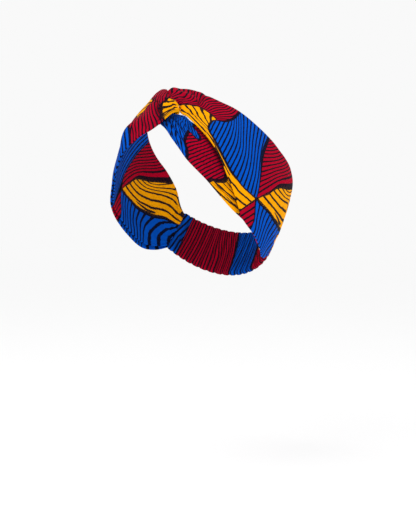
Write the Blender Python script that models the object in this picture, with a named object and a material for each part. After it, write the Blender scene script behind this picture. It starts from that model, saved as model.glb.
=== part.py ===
"""Knotted cloth headband, in the shape it has when worn: two interlocked cloth loops and a casing.

Metres, +Z up. The wearer looks along -Y and the wearer's left is +X. The origin is the middle of the
hollow that the band closes round.
"""
import math
from collections import namedtuple

import bmesh
import bpy
import numpy as np

MM = 0.001

# Hollow that the band closes round: an egg about as wide and deep as an adult head
HALF_WIDTH = 72.5 * MM
HALF_DEPTH = 98.0 * MM
CROWN_HEIGHT = 93.5 * MM
LOWER_DEPTH = 135.0 * MM
BACK_WIDENING = 0.065
CROWN_SET_BACK = 0.09
NAPE_LEAN = 0.26

# Ring that the band follows: it dips from the knot at the front to the nape, and sits turned a little
TILT_DEG = 48.0
YAW_DEG = 11.0

# Casing at the nape
CASING_START = 141.9
CASING_END = 218.1
CASING_HALF_RISE = 12.5
CASING_LIFT = 1.1
CASING_THICK = 4.4
CASING_GATHERS = 17
CASING_GATHER_DEPTH = 0.9

# Mesh fineness: steps between two sections, and steps across a strip
STEPS_BETWEEN = 2
STEPS_ACROSS = 12
CASING_STEPS_PER_GATHER = 2
CASING_STEPS_ACROSS = 6

# Lengthwise pleats across a strip
PLEATS = 3

# Cross section of a strip. Edge a is the strip's crown edge on the outer layer, edge b its face edge.
# turn is the angle in degrees round the ring from the front, positive to the wearer's left.
# rise is the angle in degrees from the ring towards the crown.
# The five lifts are heights in mm over the hollow, evenly spaced from edge a to edge b.
# thick is the wall in mm, more where the cloth is gathered in the knot.
# pleat is how far the lengthwise gathers stand up and down, in mm.
Section = namedtuple("Section", "turn_a rise_a turn_b rise_b lift_a lift_1 lift_2 lift_3 lift_b thick pleat")

RIGHT_LOOP = [
    Section(-141.7, 12.0, -141.7, -13.0, 2.2, 2.6, 2.6, 2.6, 2.2, 1.6, 0.0),
    Section(-135.5, 17.0, -135.5, -20.0, 2.4, 3.4, 3.0, 3.4, 2.4, 1.6, 0.3),
    Section(-126.0, 25.0, -126.0, -26.5, 2.6, 3.4, 3.2, 3.4, 2.6, 1.6, 0.3),
    Section(-111.0, 29.5, -111.0, -30.0, 3.4, 4.2, 4.0, 4.2, 3.4, 1.6, 0.2),
    Section(-92.0, 29.5, -92.0, -33.2, 3.6, 4.0, 4.0, 4.0, 3.4, 1.6, 0.0),
    Section(-72.0, 28.5, -72.0, -35.5, 3.4, 3.6, 3.4, 3.2, 2.4, 1.6, 0.0),
    Section(-54.0, 27.5, -54.0, -35.0, 3.2, 3.0, 1.6, 0.6, 0.8, 1.4, 0.0),
    Section(-40.5, 26.5, -41.0, -33.4, 3.4, 3.4, 2.0, -0.4, 0.0, 1.4, 0.0),
    Section(-31.5, 25.8, -32.0, -29.8, 4.0, 3.6, 2.0, -0.4, 0.2, 1.4, 0.1),
    Section(-22.5, 24.6, -23.5, -24.6, 5.0, 4.4, 3.2, 7.0, 2.2, 1.4, 0.2),
    Section(-16.5, 23.2, -16.5, -21.2, 8.2, 6.8, 4.6, 7.2, 3.0, 1.6, 0.4),
    Section(-9.6, 20.2, -9.0, -17.0, 7.8, 8.6, 7.8, 6.9, 4.6, 1.8, 0.5),
    Section(-4.4, 13.4, -2.6, -13.4, 8.8, 9.2, 8.4, 7.4, 6.0, 1.9, 0.4),
    Section(0.6, 9.2, 1.8, -8.2, 8.6, 9.2, 9.0, 8.2, 7.0, 2.0, 0.3),
    Section(3.8, 7.0, 5.2, -1.2, 7.8, 8.4, 8.4, 8.0, 7.4, 2.0, 0.2),
    Section(5.0, 6.2, 7.5, 1.8, 5.2, 5.2, 5.2, 5.2, 5.2, 2.0, 0.2),
    Section(3.5, 6.6, 6.2, 1.0, 2.0, 2.0, 2.0, 2.0, 2.0, 2.0, 0.0),
    Section(0.6, 8.4, 3.4, -3.4, 0.8, 0.8, 0.8, 0.8, 0.8, 1.8, 0.0),
    Section(-5.0, 12.0, -3.5, -8.6, 0.6, 0.6, 0.6, 0.6, 0.6, 1.6, 0.0),
    Section(-13.0, 17.0, -12.0, -14.0, 0.5, 0.5, 0.4, 0.4, 0.2, 1.4, 0.0),
    Section(-24.0, 22.0, -23.5, -21.6, 0.4, 0.4, 0.2, 0.2, -0.6, 1.4, 0.0),
    Section(-40.0, 25.0, -40.5, -32.4, 0.4, 0.4, -0.6, -1.6, -1.6, 1.4, 0.0),
    Section(-54.0, 26.0, -54.0, -35.8, 0.6, 0.6, -0.4, -1.6, -1.6, 1.4, 0.0),
    Section(-72.0, 27.0, -72.0, -36.0, 0.8, 0.8, 0.8, 0.4, 0.0, 1.4, 0.0),
    Section(-92.0, 28.0, -92.0, -32.2, 1.0, 1.0, 1.0, 1.0, 0.8, 1.4, 0.0),
    Section(-111.0, 28.0, -111.0, -29.0, 0.8, 0.8, 0.8, 0.8, 0.8, 1.4, 0.0),
    Section(-126.0, 23.5, -126.0, -25.0, 0.0, 0.0, 0.0, 0.0, 0.0, 1.4, 0.0),
    Section(-135.5, 16.0, -135.5, -18.5, -0.4, -0.4, -0.4, -0.4, -0.4, 1.4, 0.0),
    Section(-141.7, 12.0, -141.7, -13.0, -0.4, -0.4, -0.4, -0.4, -0.4, 1.4, 0.0),
]

LEFT_LOOP = [
    Section(141.7, 12.0, 141.7, -13.0, 2.2, 2.6, 2.6, 2.6, 2.2, 1.6, 0.0),
    Section(137.0, 15.0, 137.0, -19.5, 2.2, 2.9, 2.8, 3.0, 2.6, 1.6, 0.3),
    Section(129.5, 21.5, 129.5, -25.5, 2.7, 3.3, 3.3, 3.7, 3.5, 1.6, 0.4),
    Section(118.0, 28.0, 118.0, -28.6, 3.3, 3.9, 4.5, 5.3, 5.1, 1.6, 0.3),
    Section(104.0, 30.2, 104.0, -31.2, 3.4, 4.0, 5.0, 5.8, 5.4, 1.6, 0.0),
    Section(92.0, 29.6, 92.0, -33.4, 3.0, 3.8, 5.2, 6.0, 5.4, 1.6, 0.0),
    Section(83.5, 28.8, 83.0, -33.6, 2.8, 3.6, 5.2, 6.0, 5.4, 1.6, 0.0),
    Section(74.0, 28.4, 73.0, -30.6, 2.8, 3.6, 5.2, 6.0, 5.4, 1.6, 0.0),
    Section(64.0, 27.6, 63.0, -26.2, 2.8, 3.6, 5.0, 5.8, 5.2, 1.6, 0.0),
    Section(54.0, 26.8, 53.0, -21.6, 2.8, 3.6, 4.8, 5.6, 5.2, 1.6, 0.0),
    Section(44.0, 27.0, 43.0, -15.2, 2.5, 3.3, 4.3, 5.1, 4.9, 1.6, 0.1),
    Section(34.0, 26.7, 34.0, -9.2, 2.1, 3.1, 3.9, 4.5, 4.3, 1.6, 0.3),
    Section(25.0, 25.4, 26.0, -5.0, 1.8, 3.2, 3.8, 4.2, 3.8, 1.6, 0.5),
    Section(16.0, 25.6, 19.0, -1.8, 1.6, 3.2, 4.0, 4.2, 3.5, 1.7, 0.7),
    Section(8.0, 26.8, 12.6, 1.6, 1.8, 3.4, 4.4, 4.4, 3.0, 1.8, 0.9),
    Section(1.0, 28.2, 8.6, 2.8, 2.0, 4.2, 5.8, 5.2, 2.2, 1.9, 0.8),
    Section(-5.0, 28.2, 6.6, 5.4, 2.6, 4.2, 6.2, 5.0, 2.6, 2.0, 0.5),
    Section(-9.6, 26.0, 5.2, 8.2, 4.8, 7.8, 5.8, 4.6, 3.6, 2.2, 0.2),
    Section(-12.8, 20.6, 2.0, 9.2, 4.2, 4.5, 4.6, 4.5, 4.4, 2.4, 0.0),
    Section(-13.8, 13.5, 0.8, 7.0, 4.4, 4.4, 4.4, 4.4, 4.4, 2.6, 0.0),
    Section(-12.8, 6.5, 1.0, 4.4, 4.4, 4.4, 4.4, 4.4, 4.4, 2.6, 0.0),
    Section(-9.5, 0.8, 2.4, 2.0, 4.2, 4.4, 4.4, 4.4, 4.4, 2.6, 0.0),
    Section(-5.0, -4.0, 4.6, -0.6, 3.8, 4.2, 4.4, 4.4, 4.4, 2.6, 0.1),
    Section(0.0, -7.6, 8.4, -0.4, 3.2, 3.9, 4.2, 4.2, 4.2, 2.4, 0.4),
    Section(4.6, -10.6, 11.6, 0.2, 2.4, 3.6, 4.0, 3.7, 3.0, 2.1, 0.8),
    Section(9.5, -15.2, 15.0, -1.0, 1.6, 3.0, 3.2, 2.6, 1.6, 1.8, 0.9),
    Section(15.0, -19.6, 20.0, -2.2, 1.2, 2.2, 2.2, 1.5, 0.9, 1.6, 0.8),
    Section(22.0, -24.6, 26.5, -4.2, 0.9, 1.4, 1.2, 0.9, 0.7, 1.4, 0.6),
    Section(30.0, -28.0, 34.0, -4.0, 0.9, 1.3, 1.0, 0.7, 0.7, 1.4, 0.4),
    Section(40.0, -30.9, 43.0, -4.0, 0.9, 1.2, 0.9, 0.7, 0.7, 1.4, 0.3),
    Section(51.0, -33.6, 53.0, -4.0, 0.9, 1.2, 0.9, 0.7, 0.7, 1.4, 0.3),
    Section(63.0, -35.4, 63.0, -4.0, 0.9, 1.2, 0.9, 0.7, 0.7, 1.4, 0.2),
    Section(76.0, -35.4, 76.0, -3.0, 0.9, 1.2, 0.9, 0.9, 0.7, 1.4, 0.1),
    Section(92.0, -32.6, 92.0, -1.0, 1.1, 1.2, 1.1, 1.1, 1.0, 1.4, 0.0),
    Section(108.0, -29.8, 108.0, 3.0, 1.0, 1.0, 1.0, 1.0, 1.0, 1.4, 0.0),
    Section(122.0, -26.6, 122.0, 8.0, 0.2, 0.2, 0.2, 0.2, 0.2, 1.4, 0.0),
    Section(133.0, -21.5, 133.0, 11.0, -0.4, -0.4, -0.4, -0.4, -0.4, 1.4, 0.0),
    Section(141.7, -13.0, 141.7, 12.0, -0.4, -0.4, -0.4, -0.4, -0.4, 1.4, 0.0),
]

FRONT = np.array([math.sin(math.radians(YAW_DEG)), -math.cos(math.radians(YAW_DEG)), 0.0])
UP = np.array([0.0, 0.0, 1.0])
SIDE_AXIS = np.cross(UP, FRONT)
KNOT_AXIS = math.cos(math.radians(TILT_DEG)) * FRONT + math.sin(math.radians(TILT_DEG)) * UP
CROWN_AXIS = math.cos(math.radians(TILT_DEG)) * UP - math.sin(math.radians(TILT_DEG)) * FRONT


def clear_scene():
    """Remove what the scene holds."""
    for thing in list(bpy.data.objects):
        bpy.data.objects.remove(thing, do_unlink=True)


def cloth_material(name, colour):
    """Plain woven cotton in one of the print's main colours."""
    material = bpy.data.materials.new(name)
    material.use_nodes = True
    shader = material.node_tree.nodes["Principled BSDF"]
    shader.inputs["Base Color"].default_value = (*colour, 1.0)
    shader.inputs["Roughness"].default_value = 0.85
    shader.inputs["Metallic"].default_value = 0.0
    return material


def hollow_radius(direction):
    """Distance from the origin to the hollow's surface along unit directions."""
    x, y, z = np.moveaxis(direction, -1, 0)
    below = np.clip(0.5 - z / 0.3, 0.0, 1.0)
    below = below * below * (3.0 - 2.0 * below)
    above = np.clip(z, 0.0, 1.0)
    half_width = HALF_WIDTH * (1.0 + BACK_WIDENING * y)
    half_height = np.where(z > 0.0, CROWN_HEIGHT, LOWER_DEPTH)
    depth = y - NAPE_LEAN * below * z - CROWN_SET_BACK * above**2
    return 1.0 / np.sqrt((x / half_width)**2 + (depth / HALF_DEPTH)**2 + (z / half_height)**2)


def place(turn, rise, lift):
    """Points at angles round the ring and towards the crown, lift mm over the hollow."""
    turn = np.radians(turn)
    rise = np.radians(rise)
    direction = (
        (np.cos(rise) * np.sin(turn))[..., None] * SIDE_AXIS
        + (np.cos(rise) * np.cos(turn))[..., None] * KNOT_AXIS
        + np.sin(rise)[..., None] * CROWN_AXIS
    )
    return direction * (hollow_radius(direction) + lift * MM)[..., None]


def smooth_rows(rows, steps):
    """Catmull-Rom curve through the rows, with a number of steps between two rows."""
    rows = np.array(rows, float)
    ends = np.vstack([2.0 * rows[0] - rows[1], rows, 2.0 * rows[-1] - rows[-2]])
    curve = []
    for i in range(1, len(ends) - 2):
        before, here, there, after = ends[i - 1:i + 3]
        for step in range(steps):
            t = step / steps
            linear = (there - before) * t
            square = (2.0 * before - 5.0 * here + 4.0 * there - after) * t**2
            cube = (3.0 * here - before - 3.0 * there + after) * t**3
            curve.append(here + 0.5 * (linear + square + cube))
    curve.append(rows[-1])
    return np.array(curve)


def strip_middle(sections, steps, across):
    """Middle surface of a strip, stations by places across, and its wall at each of them."""
    table = smooth_rows(sections, steps)
    turn_a, rise_a, turn_b, rise_b = (column[:, None] for column in table[:, :4].T)
    spots = np.linspace(0.0, 1.0, across + 1)
    turn = turn_a + (turn_b - turn_a) * spots
    rise = rise_a + (rise_b - rise_a) * spots
    fine_lifts = smooth_rows(table[:, 4:9].T, across)
    fine_spots = np.linspace(0.0, 1.0, len(fine_lifts))
    lift = np.array([np.interp(spots, fine_spots, column) for column in fine_lifts.T])
    lift = lift + table[:, 10:] * np.sin(2.0 * math.pi * PLEATS * spots)
    wall = np.broadcast_to(table[:, 9:10], lift.shape) * MM
    return place(turn, rise, lift), wall


def sheet_normals(middle):
    """Unit normals of a grid of points."""
    normals = np.cross(np.gradient(middle, axis=1), np.gradient(middle, axis=0))
    return normals / np.linalg.norm(normals, axis=-1, keepdims=True)


def closed_loops(middle, wall):
    """Closed cross sections with rounded edges round a middle surface, its two ends cut square."""
    half = 0.5 * wall[..., None]
    normals = sheet_normals(middle)
    for end in (0, -1):
        across_cut = np.cross(CROWN_AXIS, middle[end])
        across_cut /= np.linalg.norm(across_cut, axis=-1, keepdims=True)
        normals[end] -= np.sum(normals[end] * across_cut, axis=-1, keepdims=True) * across_cut
        normals[end] /= np.linalg.norm(normals[end], axis=-1, keepdims=True)
    outer = middle + normals * half
    inner = middle - normals * half
    side_a = middle[:, 0] - middle[:, 1]
    side_b = middle[:, -1] - middle[:, -2]
    side_a /= np.linalg.norm(side_a, axis=-1, keepdims=True)
    side_b /= np.linalg.norm(side_b, axis=-1, keepdims=True)
    edge_a = (middle[:, 0] + side_a * half[:, 0])[:, None]
    edge_b = (middle[:, -1] + side_b * half[:, -1])[:, None]
    return np.concatenate([outer, edge_b, inner[:, ::-1], edge_a], axis=1)


def loft(name, loops, material):
    """One closed body through closed cross sections of equal count, with capped ends."""
    shape = bmesh.new()
    rings = [[shape.verts.new(point) for point in loop] for loop in loops]
    count = len(rings[0])
    for ring, following in zip(rings, rings[1:]):
        for k in range(count):
            nxt = (k + 1) % count
            shape.faces.new((ring[k], ring[nxt], following[nxt], following[k]))
    for ring in (rings[0], rings[-1]):
        cap_across(shape, ring)
    bmesh.ops.recalc_face_normals(shape, faces=shape.faces)
    mesh = bpy.data.meshes.new(name)
    shape.to_mesh(mesh)
    shape.free()
    mesh.shade_smooth()
    mesh.materials.append(material)
    body = bpy.data.objects.new(name, mesh)
    bpy.context.scene.collection.objects.link(body)
    return body


def cap_across(shape, ring):
    """Close a flat cross section with faces from its outer side to its inner side."""
    side = (len(ring) - 2) // 2
    outer = ring[:side]
    edge_b = ring[side]
    inner = ring[side + 1:2 * side + 1][::-1]
    edge_a = ring[-1]
    shape.faces.new((edge_a, outer[0], inner[0]))
    shape.faces.new((edge_b, outer[-1], inner[-1]))
    for k in range(side - 1):
        shape.faces.new((outer[k], outer[k + 1], inner[k + 1], inner[k]))


def cloth_loop(name, sections, material):
    """One cloth strip, from the nape round the knot and back."""
    middle, wall = strip_middle(sections, STEPS_BETWEEN, STEPS_ACROSS)
    return loft(name, closed_loops(middle, wall), material)


def back_casing(material):
    """Gathered casing round the elastic at the nape."""
    stations = CASING_GATHERS * CASING_STEPS_PER_GATHER + 1
    turn = np.linspace(CASING_START, CASING_END, stations)[:, None]
    spots = np.linspace(-1.0, 1.0, CASING_STEPS_ACROSS + 1)[None, :]
    rise = CASING_HALF_RISE * spots + 0.0 * turn
    turn = turn + 0.0 * spots
    phase = 2.0 * math.pi * CASING_GATHERS * (turn - CASING_START) / (CASING_END - CASING_START)
    gather = 0.5 - 0.5 * np.cos(phase)
    middle = place(turn, rise, np.full(turn.shape, CASING_LIFT))
    wall = (CASING_THICK + CASING_GATHER_DEPTH * gather) * MM
    return loft("back_casing", closed_loops(middle[:, ::-1], wall), material)


clear_scene()
cloth_loop("right_loop", RIGHT_LOOP, cloth_material("right_loop_cloth", (0.46, 0.0, 0.02)))
cloth_loop("left_loop", LEFT_LOOP, cloth_material("left_loop_cloth", (0.0, 0.08, 0.53)))
back_casing(cloth_material("casing_cloth", (1.0, 0.39, 0.0)))
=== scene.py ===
"""Knotted cloth headband: fine folded cloth with its print, a plain floor, soft light and the camera.

Metres, +Z up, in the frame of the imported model. The wearer looks along -Y and the wearer's left is +X.
Places on the cloth are in mm: along the strip from its first end at the nape, and across it from edge a.
"""
import math
from collections import namedtuple

import bpy
import numpy as np
from mathutils import Euler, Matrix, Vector


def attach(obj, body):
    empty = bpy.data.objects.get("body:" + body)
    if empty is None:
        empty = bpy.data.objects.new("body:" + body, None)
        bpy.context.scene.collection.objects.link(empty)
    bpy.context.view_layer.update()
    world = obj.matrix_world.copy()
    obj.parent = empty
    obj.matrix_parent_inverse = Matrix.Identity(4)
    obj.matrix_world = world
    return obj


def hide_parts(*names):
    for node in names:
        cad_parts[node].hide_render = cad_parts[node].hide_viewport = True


MM = 0.001

# Hollow that the band closes round: an egg about as wide and deep as an adult head
HALF_WIDTH = 72.5 * MM
HALF_DEPTH = 98.0 * MM
CROWN_HEIGHT = 93.5 * MM
LOWER_DEPTH = 135.0 * MM
BACK_WIDENING = 0.065
CROWN_SET_BACK = 0.09
NAPE_LEAN = 0.26

# Ring that the band follows: it dips from the knot at the front to the nape, and sits turned a little
TILT_DEG = 48.0
YAW_DEG = 11.0

# Casing at the nape
CASING_START = 141.2
CASING_END = 218.8
CASING_HALF_RISE = 12.5
CASING_LIFT = 1.1
CASING_THICK = 4.0
CASING_GATHERS = 17
CASING_GATHER_DEPTH = 1.5
CASING_STEPS = 20
CASING_SPOTS = 41

# Piece of the print that the casing shows, in mm along and across the cloth
CASING_PRINT_START = 62.0
CASING_PRINT_RUN = 190.0
CASING_PRINT_MIDDLE = 14.0
CASING_PRINT_HALF = 16.0

# Cloth: width of a finished strip, and how finely its surface is drawn
STRIP_WIDTH = 95.0
STATION_STEP = 1.0
SPOTS_ACROSS = 98
EDGE_STEPS = 3
ROW_STEPS = 24

# Lengthwise pleats across a strip
PLEATS = 3

# Cross section of a strip. Edge a is the strip's crown edge on the outer layer, edge b its face edge.
# turn is the angle in degrees round the ring from the front, positive to the wearer's left.
# rise is the angle in degrees from the ring towards the crown.
# The five lifts are heights in mm over the hollow, evenly spaced from edge a to edge b.
# thick is the wall in mm, more where the cloth is gathered in the knot.
# pleat is how far the lengthwise gathers stand up and down, in mm.
Section = namedtuple("Section", "turn_a rise_a turn_b rise_b lift_a lift_1 lift_2 lift_3 lift_b thick pleat")

RIGHT_LOOP = [
    Section(-141.7, 12.0, -141.7, -13.0, 2.2, 2.6, 2.6, 2.6, 2.2, 1.6, 0.0),
    Section(-135.5, 17.0, -135.5, -20.0, 2.4, 3.4, 3.0, 3.4, 2.4, 1.6, 0.3),
    Section(-126.0, 25.0, -126.0, -26.5, 2.6, 3.4, 3.2, 3.4, 2.6, 1.6, 0.3),
    Section(-111.0, 29.5, -111.0, -30.0, 3.4, 4.2, 4.0, 4.2, 3.4, 1.6, 0.2),
    Section(-92.0, 29.5, -92.0, -33.2, 3.6, 4.0, 4.0, 4.0, 3.4, 1.6, 0.0),
    Section(-72.0, 28.5, -72.0, -35.5, 3.4, 3.6, 3.4, 3.2, 2.4, 1.6, 0.0),
    Section(-54.0, 27.5, -54.0, -35.0, 3.2, 3.0, 1.6, 0.6, 0.8, 1.4, 0.0),
    Section(-40.5, 26.5, -41.0, -33.4, 3.4, 3.4, 2.0, -0.4, 0.0, 1.4, 0.0),
    Section(-31.5, 25.8, -32.0, -29.8, 4.0, 3.6, 2.0, -0.4, 0.2, 1.4, 0.1),
    Section(-22.5, 24.6, -23.5, -24.6, 5.0, 4.4, 3.2, 7.0, 2.2, 1.4, 0.2),
    Section(-16.5, 23.2, -16.5, -21.2, 8.2, 6.8, 4.6, 7.2, 3.0, 1.6, 0.4),
    Section(-9.6, 20.2, -9.0, -17.0, 7.8, 8.6, 7.8, 6.9, 4.6, 1.8, 0.5),
    Section(-4.4, 13.4, -2.6, -13.4, 8.8, 9.2, 8.4, 7.4, 6.0, 1.9, 0.4),
    Section(0.6, 9.2, 1.8, -8.2, 8.6, 9.2, 9.0, 8.2, 7.0, 2.0, 0.3),
    Section(3.8, 7.0, 5.2, -1.2, 7.8, 8.4, 8.4, 8.0, 7.4, 2.0, 0.2),
    Section(5.0, 6.2, 7.5, 1.8, 5.2, 5.2, 5.2, 5.2, 5.2, 2.0, 0.2),
    Section(3.5, 6.6, 6.2, 1.0, 2.0, 2.0, 2.0, 2.0, 2.0, 2.0, 0.0),
    Section(0.6, 8.4, 3.4, -3.4, 0.8, 0.8, 0.8, 0.8, 0.8, 1.8, 0.0),
    Section(-5.0, 12.0, -3.5, -8.6, 0.6, 0.6, 0.6, 0.6, 0.6, 1.6, 0.0),
    Section(-13.0, 17.0, -12.0, -14.0, 0.5, 0.5, 0.4, 0.4, 0.2, 1.4, 0.0),
    Section(-24.0, 22.0, -23.5, -21.6, 0.4, 0.4, 0.2, 0.2, -0.6, 1.4, 0.0),
    Section(-40.0, 25.0, -40.5, -32.4, 0.4, 0.4, -0.6, -1.6, -1.6, 1.4, 0.0),
    Section(-54.0, 26.0, -54.0, -35.8, 0.6, 0.6, -0.4, -1.6, -1.6, 1.4, 0.0),
    Section(-72.0, 27.0, -72.0, -36.0, 0.8, 0.8, 0.8, 0.4, 0.0, 1.4, 0.0),
    Section(-92.0, 28.0, -92.0, -32.2, 1.0, 1.0, 1.0, 1.0, 0.8, 1.4, 0.0),
    Section(-111.0, 28.0, -111.0, -29.0, 0.8, 0.8, 0.8, 0.8, 0.8, 1.4, 0.0),
    Section(-126.0, 23.5, -126.0, -25.0, 0.0, 0.0, 0.0, 0.0, 0.0, 1.4, 0.0),
    Section(-135.5, 16.0, -135.5, -18.5, -0.4, -0.4, -0.4, -0.4, -0.4, 1.4, 0.0),
    Section(-141.7, 12.0, -141.7, -13.0, -0.4, -0.4, -0.4, -0.4, -0.4, 1.4, 0.0),
]

LEFT_LOOP = [
    Section(141.7, 12.0, 141.7, -13.0, 2.2, 2.6, 2.6, 2.6, 2.2, 1.6, 0.0),
    Section(137.0, 15.0, 137.0, -19.5, 2.2, 2.9, 2.8, 3.0, 2.6, 1.6, 0.3),
    Section(129.5, 21.5, 129.5, -25.5, 2.7, 3.3, 3.3, 3.7, 3.5, 1.6, 0.4),
    Section(118.0, 28.0, 118.0, -28.6, 3.3, 3.9, 4.5, 5.3, 5.1, 1.6, 0.3),
    Section(104.0, 30.2, 104.0, -31.2, 3.4, 4.0, 5.0, 5.8, 5.4, 1.6, 0.0),
    Section(92.0, 29.6, 92.0, -33.4, 3.0, 3.8, 5.2, 6.0, 5.4, 1.6, 0.0),
    Section(83.5, 28.8, 83.0, -33.6, 2.8, 3.6, 5.2, 6.0, 5.4, 1.6, 0.0),
    Section(74.0, 28.4, 73.0, -30.6, 2.8, 3.6, 5.2, 6.0, 5.4, 1.6, 0.0),
    Section(64.0, 27.6, 63.0, -26.2, 2.8, 3.6, 5.0, 5.8, 5.2, 1.6, 0.0),
    Section(54.0, 26.8, 53.0, -21.6, 2.8, 3.6, 4.8, 5.6, 5.2, 1.6, 0.0),
    Section(44.0, 27.0, 43.0, -15.2, 2.5, 3.3, 4.3, 5.1, 4.9, 1.6, 0.1),
    Section(34.0, 26.7, 34.0, -9.2, 2.1, 3.1, 3.9, 4.5, 4.3, 1.6, 0.3),
    Section(25.0, 25.4, 26.0, -5.0, 1.8, 3.2, 3.8, 4.2, 3.8, 1.6, 0.5),
    Section(16.0, 25.6, 19.0, -1.8, 1.6, 3.2, 4.0, 4.2, 3.5, 1.7, 0.7),
    Section(8.0, 26.8, 12.6, 1.6, 1.8, 3.4, 4.4, 4.4, 3.0, 1.8, 0.9),
    Section(1.0, 28.2, 8.6, 2.8, 2.0, 4.2, 5.8, 5.2, 2.2, 1.9, 0.8),
    Section(-5.0, 28.2, 6.6, 5.4, 2.6, 4.2, 6.2, 5.0, 2.6, 2.0, 0.5),
    Section(-9.6, 26.0, 5.2, 8.2, 4.8, 7.8, 5.8, 4.6, 3.6, 2.2, 0.2),
    Section(-12.8, 20.6, 2.0, 9.2, 4.2, 4.5, 4.6, 4.5, 4.4, 2.4, 0.0),
    Section(-13.8, 13.5, 0.8, 7.0, 4.4, 4.4, 4.4, 4.4, 4.4, 2.6, 0.0),
    Section(-12.8, 6.5, 1.0, 4.4, 4.4, 4.4, 4.4, 4.4, 4.4, 2.6, 0.0),
    Section(-9.5, 0.8, 2.4, 2.0, 4.2, 4.4, 4.4, 4.4, 4.4, 2.6, 0.0),
    Section(-5.0, -4.0, 4.6, -0.6, 3.8, 4.2, 4.4, 4.4, 4.4, 2.6, 0.1),
    Section(0.0, -7.6, 8.4, -0.4, 3.2, 3.9, 4.2, 4.2, 4.2, 2.4, 0.4),
    Section(4.6, -10.6, 11.6, 0.2, 2.4, 3.6, 4.0, 3.7, 3.0, 2.1, 0.8),
    Section(9.5, -15.2, 15.0, -1.0, 1.6, 3.0, 3.2, 2.6, 1.6, 1.8, 0.9),
    Section(15.0, -19.6, 20.0, -2.2, 1.2, 2.2, 2.2, 1.5, 0.9, 1.6, 0.8),
    Section(22.0, -24.6, 26.5, -4.2, 0.9, 1.4, 1.2, 0.9, 0.7, 1.4, 0.6),
    Section(30.0, -28.0, 34.0, -4.0, 0.9, 1.3, 1.0, 0.7, 0.7, 1.4, 0.4),
    Section(40.0, -30.9, 43.0, -4.0, 0.9, 1.2, 0.9, 0.7, 0.7, 1.4, 0.3),
    Section(51.0, -33.6, 53.0, -4.0, 0.9, 1.2, 0.9, 0.7, 0.7, 1.4, 0.3),
    Section(63.0, -35.4, 63.0, -4.0, 0.9, 1.2, 0.9, 0.7, 0.7, 1.4, 0.2),
    Section(76.0, -35.4, 76.0, -3.0, 0.9, 1.2, 0.9, 0.9, 0.7, 1.4, 0.1),
    Section(92.0, -32.6, 92.0, -1.0, 1.1, 1.2, 1.1, 1.1, 1.0, 1.4, 0.0),
    Section(108.0, -29.8, 108.0, 3.0, 1.0, 1.0, 1.0, 1.0, 1.0, 1.4, 0.0),
    Section(122.0, -26.6, 122.0, 8.0, 0.2, 0.2, 0.2, 0.2, 0.2, 1.4, 0.0),
    Section(133.0, -21.5, 133.0, 11.0, -0.4, -0.4, -0.4, -0.4, -0.4, 1.4, 0.0),
    Section(141.7, -13.0, 141.7, 12.0, -0.4, -0.4, -0.4, -0.4, -0.4, 1.4, 0.0),
]

# Dyes of the print, as linear colours
DYES = {
    "red": (0.44, 0.0, 0.020),
    "blue": (0.0, 0.088, 0.56),
    "yellow": (1.0, 0.40, 0.0),
}
# Near black of the print's lines and outlines, also used for the painted fold shadows drawn as strokes at
# the right strip's knot
LINE_INK_AND_SHADOW = (0.003, 0.003, 0.010)

# Printed patch. outline is a ring of smooth edges, each a list of places on the cloth.
# guides are curves that its stripes follow, in order, and stripes counts the stripes from each to the next.
# line is half a dark line's width, as a share of a stripe.
# Where an outline meets an edge of the strip, it runs 5 mm past it.
Patch = namedtuple("Patch", "dye outline guides stripes line")

# Point where six patches of the side meet, and the boundaries that run from it
HUB = (88, 71)
HUB_TO_CROWN = [HUB, (93, 62), (99, 53), (104, 43), (107.5, 31), (108.5, 18), (108, 3), (108, -5)]
HUB_TO_NAPE_CROWN = [HUB, (84, 62), (79, 54), (76, 45), (71, 36), (57, 25), (43, 12), (28, -5)]
HUB_TO_NAPE = [HUB, (77, 69), (66, 67), (52, 65), (39, 60), (30, 56), (16, 42), (5, 36), (-5, 32)]
HUB_TO_NAPE_FACE = [HUB, (87, 74), (78, 82), (72, 88), (70, 94), (68, 100)]
HUB_TO_FACE = [HUB, (90, 79), (92, 88), (95, 100)]
HUB_TO_KNOT = [HUB, (96, 75), (110, 82), (119, 85), (130, 89), (144, 91), (158, 89), (167, 85.5),
               (170.5, 80)]


def rectangle(start, end):
    """Outline over the whole width from one place along the strip to another."""
    return [[(start, -5), (end, -5)], [(end, -5), (end, 100)], [(end, 100), (start, 100)],
            [(start, 100), (start, -5)]]


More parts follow.
